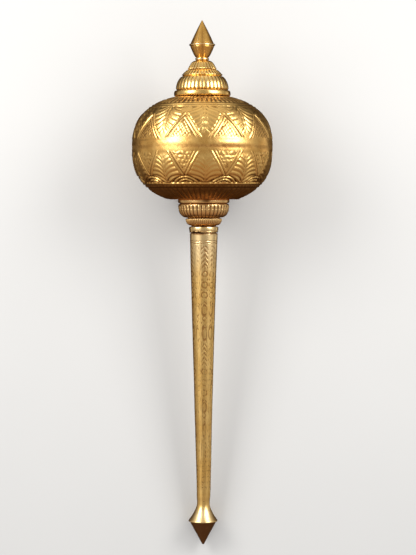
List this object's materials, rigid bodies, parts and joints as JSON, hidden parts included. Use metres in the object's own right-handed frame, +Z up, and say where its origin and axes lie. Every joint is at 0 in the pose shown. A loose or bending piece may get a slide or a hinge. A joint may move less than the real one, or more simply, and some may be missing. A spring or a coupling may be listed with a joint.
{
  "type": "ceremonial mace",
  "caption": "Gilt sheet-brass ceremonial mace with a large chased globe head, stepped cap and pointed finial, tapered chased grip and flared pommel, lying at rest.",
  "frame": {"origin": "on the surface that the mace lies on, under the middle of its length and on its line of symmetry", "axes": "+Z up; the axis of the mace runs along Y, head towards +Y and raised by 8.5 degrees; +X is the mace's right seen from above with the head away from the viewer"},
  "size_m": [0.1876, 0.6922, 0.1867],
  "materials": {
    "polished_gilt": "polished gilt brass, browned in the grooves",
    "chased_gilt": "chased gilt brass, bright on the high parts and brown in the lines",
    "worn_gilt": "satin gilt brass with worn chasing"
  },
  "bodies": {
    "root": {"finial": "polished_gilt", "dome_cap": "chased_gilt", "globe": "chased_gilt", "collar": "chased_gilt", "ferrule": "polished_gilt", "shaft": "worn_gilt", "pommel": "polished_gilt"}
  },
  "joints": []
}
